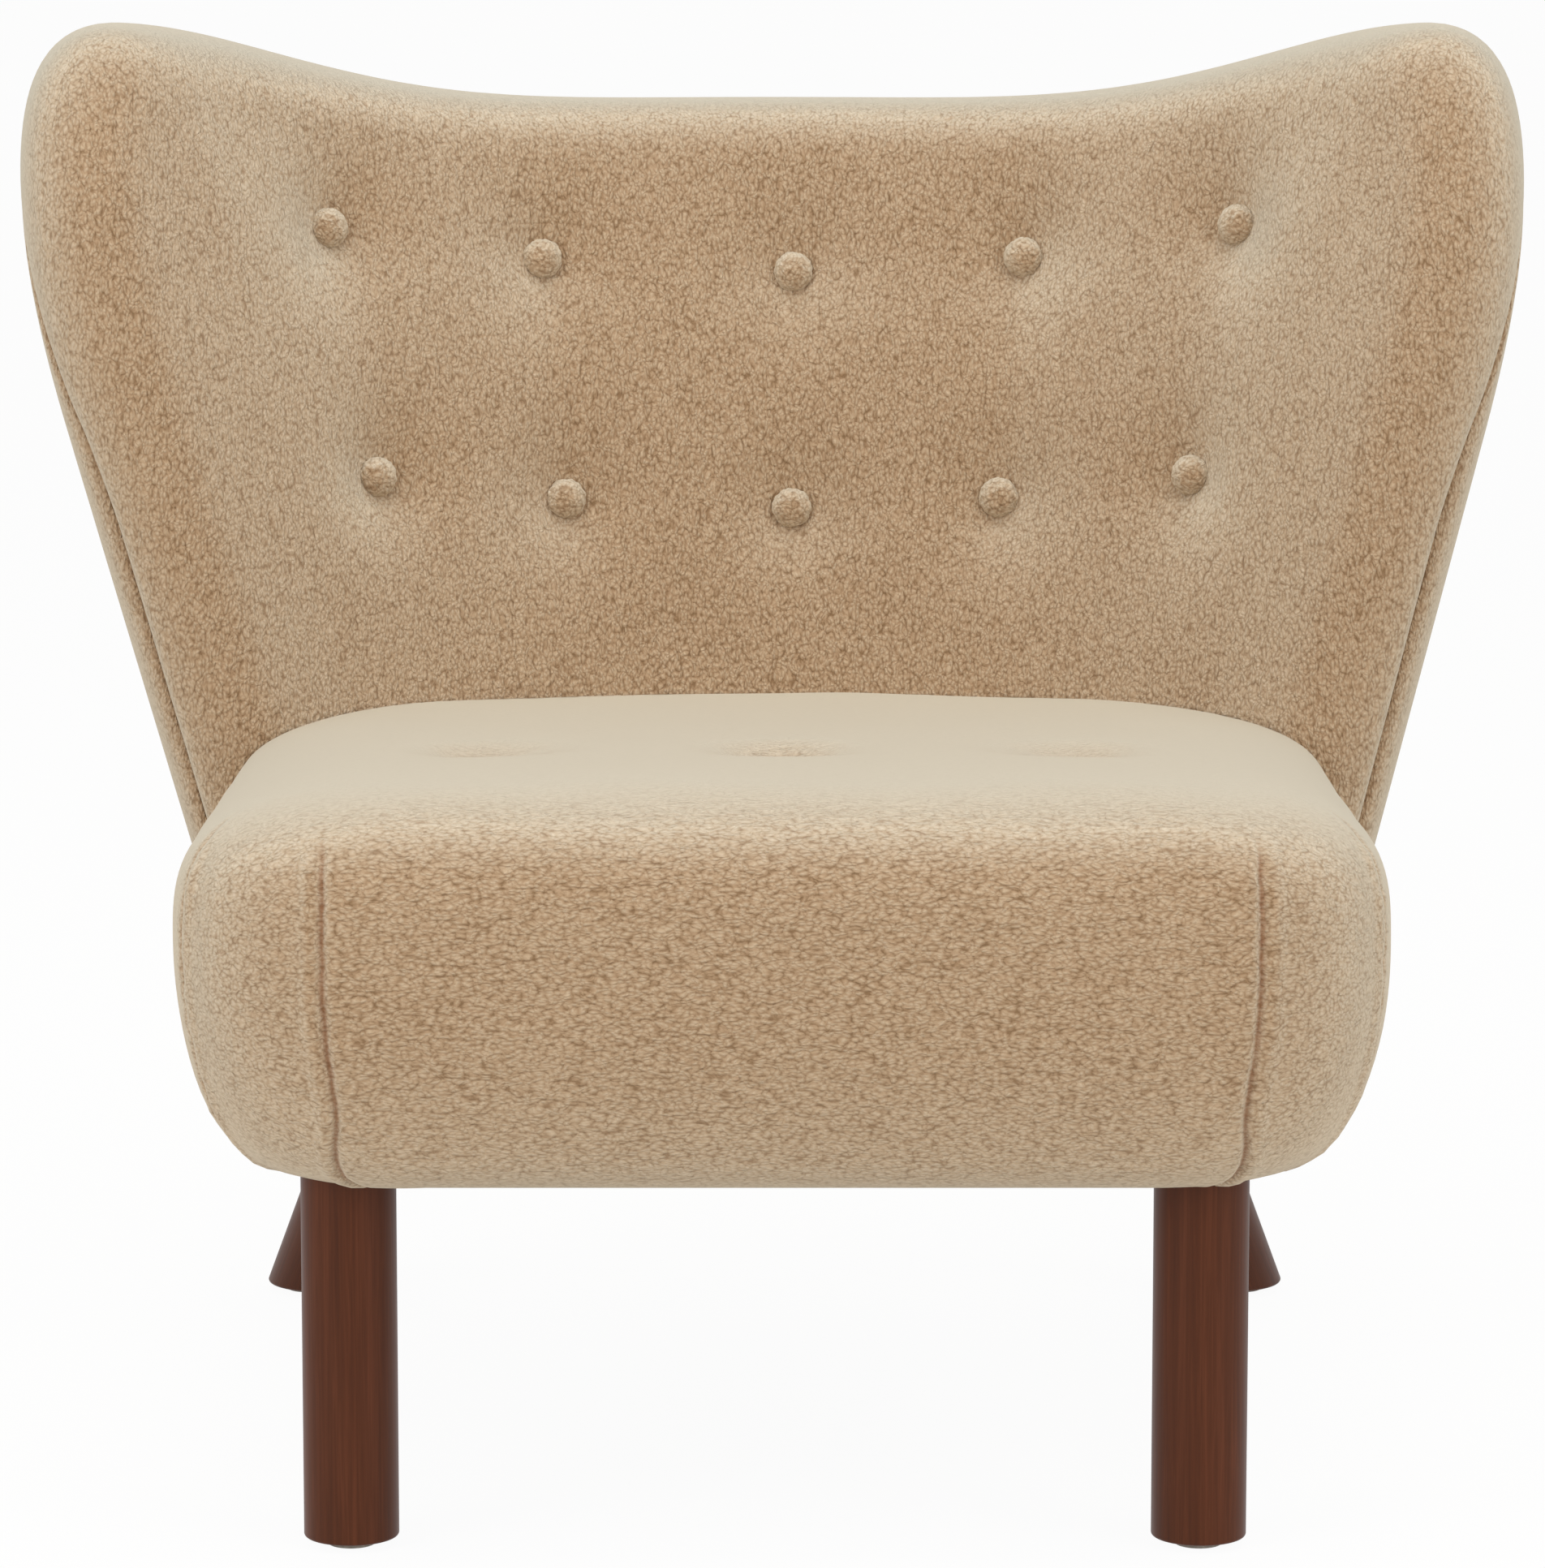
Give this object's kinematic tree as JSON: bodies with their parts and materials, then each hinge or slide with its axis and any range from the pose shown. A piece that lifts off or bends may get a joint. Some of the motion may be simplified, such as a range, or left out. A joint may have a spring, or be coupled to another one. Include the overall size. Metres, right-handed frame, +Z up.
{
  "type": "wingback lounge chair",
  "caption": "Low wide lounge chair with a buttoned winged back, a thick tufted seat, fleece upholstery and round splayed wooden legs.",
  "frame": {"origin": "on the floor, under the middle of the chair's box", "axes": "+X to the sitter's left as seen from the front (right in the picture), +Y to the back of the chair, +Z up"},
  "size_m": [0.7754, 0.71, 0.7],
  "materials": {
    "fleece": "short curled pile",
    "walnut": "satin lacquer over brown stain",
    "glide": "moulded nylon",
    "dust_cloth": "thin non-woven cloth",
    "foam": "open-cell foam and wadding",
    "plywood": "raw birch plywood",
    "timber": "planed beech",
    "hardboard": "bending board",
    "webbing": "elastic woven strap",
    "felt": "needled felt",
    "steel": "zinc plated",
    "twine": "waxed tufting twine",
    "nylon": "moulded nylon"
  },
  "bodies": {
    "root": {"back_buttons": "fleece", "back_inner_cover": "fleece", "back_outer_cover": "fleece", "seat_buttons": "fleece", "seat_corner_gusset_left": "fleece", "seat_corner_gusset_right": "fleece", "seat_cover": "fleece", "leg_front_left": "walnut", "leg_front_right": "walnut", "leg_rear_left": "walnut", "leg_rear_right": "walnut", "glide_front_left": "glide", "glide_front_right": "glide", "glide_rear_left": "glide", "glide_rear_right": "glide", "dust_cover": "dust_cloth", "back_foam": "foam", "back_rear_padding": "foam", "seat_foam": "foam", "back_lower_posts": "plywood", "back_rib_bottom": "plywood", "back_rib_middle": "plywood", "back_rib_top": "plywood", "back_upper_posts": "plywood", "base_board": "plywood", "wing_post_left": "plywood", "wing_post_right": "plywood", "leg_block_front_left": "timber", "leg_block_front_right": "timber", "leg_block_rear_left": "timber", "leg_block_rear_right": "timber", "seat_front_rail": "timber", "seat_rail_left": "timber", "seat_rail_right": "timber", "seat_rear_rail": "timber", "back_liner_board": "hardboard", "seat_webbing_crosswise": "webbing", "seat_webbing_lengthwise": "webbing", "seat_felt_pad": "felt", "back_rib_screws": "steel", "leg_hanger_bolts": "steel", "leg_tee_nuts": "steel", "rail_screws": "steel", "back_button_twines": "twine", "seat_button_twines": "twine", "back_twine_washers": "nylon", "seat_twine_toggles": "nylon"}
  },
  "joints": []
}
